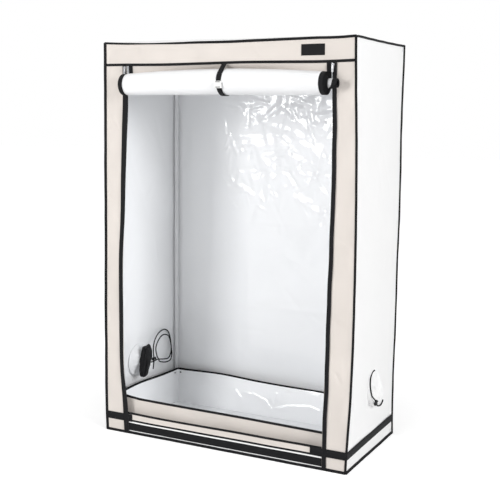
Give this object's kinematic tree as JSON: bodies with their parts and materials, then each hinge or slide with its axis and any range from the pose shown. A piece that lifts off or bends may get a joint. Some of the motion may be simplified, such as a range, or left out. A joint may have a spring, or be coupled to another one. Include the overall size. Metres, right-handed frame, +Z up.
{
  "type": "indoor grow tent",
  "caption": "Tall rectangular fabric tent on a steel pole frame, its front door rolled up under the header, with a removable spill tray, drawcord ports and hanging bars that slide.",
  "frame": {"origin": "centre of the tent's floor, on its underside", "axes": "+X to the right of someone who faces the doorway, +Y to the back of the tent, +Z up"},
  "size_m": [1.2543, 0.6878, 1.8133],
  "materials": {
    "white_enamel": "gloss",
    "white_nylon": "satin",
    "buckle_plastic": "satin",
    "white_film": "gloss",
    "white_cloth": "matte",
    "beige_cloth": "matte",
    "black_cloth": "matte",
    "black_tape": "matte",
    "black_cord": "matte",
    "black_plastic": "satin",
    "zip_metal": "bright"
  },
  "bodies": {
    "tent": {"back_panel": "white_film", "base_webbing": "black_tape", "buckle_socket": "buckle_plastic", "cord_lock_left": "black_plastic", "cord_lock_right": "black_plastic", "corner_bottom_back_left": "white_nylon", "corner_bottom_back_right": "white_nylon", "corner_bottom_front_left": "white_nylon", "corner_bottom_front_right": "white_nylon", "corner_top_back_left": "white_nylon", "corner_top_back_right": "white_nylon", "corner_top_front_left": "white_nylon", "corner_top_front_right": "white_nylon", "door_panel": "white_film", "door_sill": "beige_cloth", "door_tape_left": "black_tape", "door_tape_right": "black_tape", "drawcord_left": "black_cord", "drawcord_right": "black_cord", "edge_binding": "black_tape", "floor_panel": "black_cloth", "front_header": "beige_cloth", "front_stile_left": "beige_cloth", "front_stile_right": "beige_cloth", "left_panel": "white_film", "port_cuff_right": "white_cloth", "port_cuff_roof": "white_cloth", "port_sleeve_left": "black_cloth", "post_lower_back_left": "white_enamel", "post_lower_back_right": "white_enamel", "post_lower_front_left": "white_enamel", "post_lower_front_right": "white_enamel", "post_upper_back_left": "white_enamel", "post_upper_back_right": "white_enamel", "post_upper_front_left": "white_enamel", "post_upper_front_right": "white_enamel", "rail_bottom_back": "white_enamel", "rail_bottom_front": "white_enamel", "rail_bottom_left": "white_enamel", "rail_bottom_right": "white_enamel", "rail_top_back": "white_enamel", "rail_top_front": "white_enamel", "rail_top_left": "white_enamel", "rail_top_right": "white_enamel", "right_panel": "white_cloth", "roof_panel": "white_cloth", "spill_tray": "white_film", "strap_lower": "black_tape", "strap_upper": "black_tape", "zip_tape_left": "black_tape", "zip_tape_right": "black_tape"},
    "zip_slider_left": {"zip_slider_left": "zip_metal"},
    "zip_slider_right": {"zip_slider_right": "zip_metal"},
    "pull_tab_left": {"pull_tab_left": "zip_metal"},
    "pull_tab_right": {"pull_tab_right": "zip_metal"},
    "buckle_plug": {"buckle_plug": "buckle_plastic"},
    "lock_button_left": {"lock_button_left": "black_plastic"},
    "lock_button_right": {"lock_button_right": "black_plastic"},
    "hanging_bar_left": {"hanging_bar_left": "white_enamel"},
    "hanging_bar_right": {"hanging_bar_right": "white_enamel"}
  },
  "joints": [
    {"name": "zip_slider_left_slide", "type": "slide", "parent": "tent", "child": "zip_slider_left", "axis": [0, 0, -1], "range_m": [0, 1.655]},
    {"name": "pull_tab_left_swing", "type": "hinge", "parent": "zip_slider_left", "child": "pull_tab_left", "pos_m": [-0.4905, -0.3121, 1.6872], "axis": [-1, 0, 0], "range_deg": [0, 165]},
    {"name": "zip_slider_right_slide", "type": "slide", "parent": "tent", "child": "zip_slider_right", "axis": [0, 0, -1], "range_m": [0, 1.655]},
    {"name": "pull_tab_right_swing", "type": "hinge", "parent": "zip_slider_right", "child": "pull_tab_right", "pos_m": [0.5065, -0.3121, 1.6872], "axis": [-1, 0, 0], "range_deg": [0, 165]},
    {"name": "buckle_release", "type": "slide", "parent": "tent", "child": "buckle_plug", "axis": [0, 0, -1], "range_m": [0, 0.022], "deforming": ["strap_lower"]},
    {"name": "lock_button_left_press", "type": "slide", "parent": "tent", "child": "lock_button_left", "axis": [0, -1, 0], "range_m": [0, 0.003], "stiffness_N_per_m": 400},
    {"name": "lock_button_right_press", "type": "slide", "parent": "tent", "child": "lock_button_right", "axis": [0, 0.809, 0.5878], "range_m": [0, 0.003], "stiffness_N_per_m": 400},
    {"name": "hanging_bar_left_slide", "type": "slide", "parent": "tent", "child": "hanging_bar_left", "axis": [1, 0, 0], "range_m": [-0.34, 0.15]},
    {"name": "hanging_bar_right_slide", "type": "slide", "parent": "tent", "child": "hanging_bar_right", "axis": [1, 0, 0], "range_m": [-0.15, 0.34]}
  ]
}
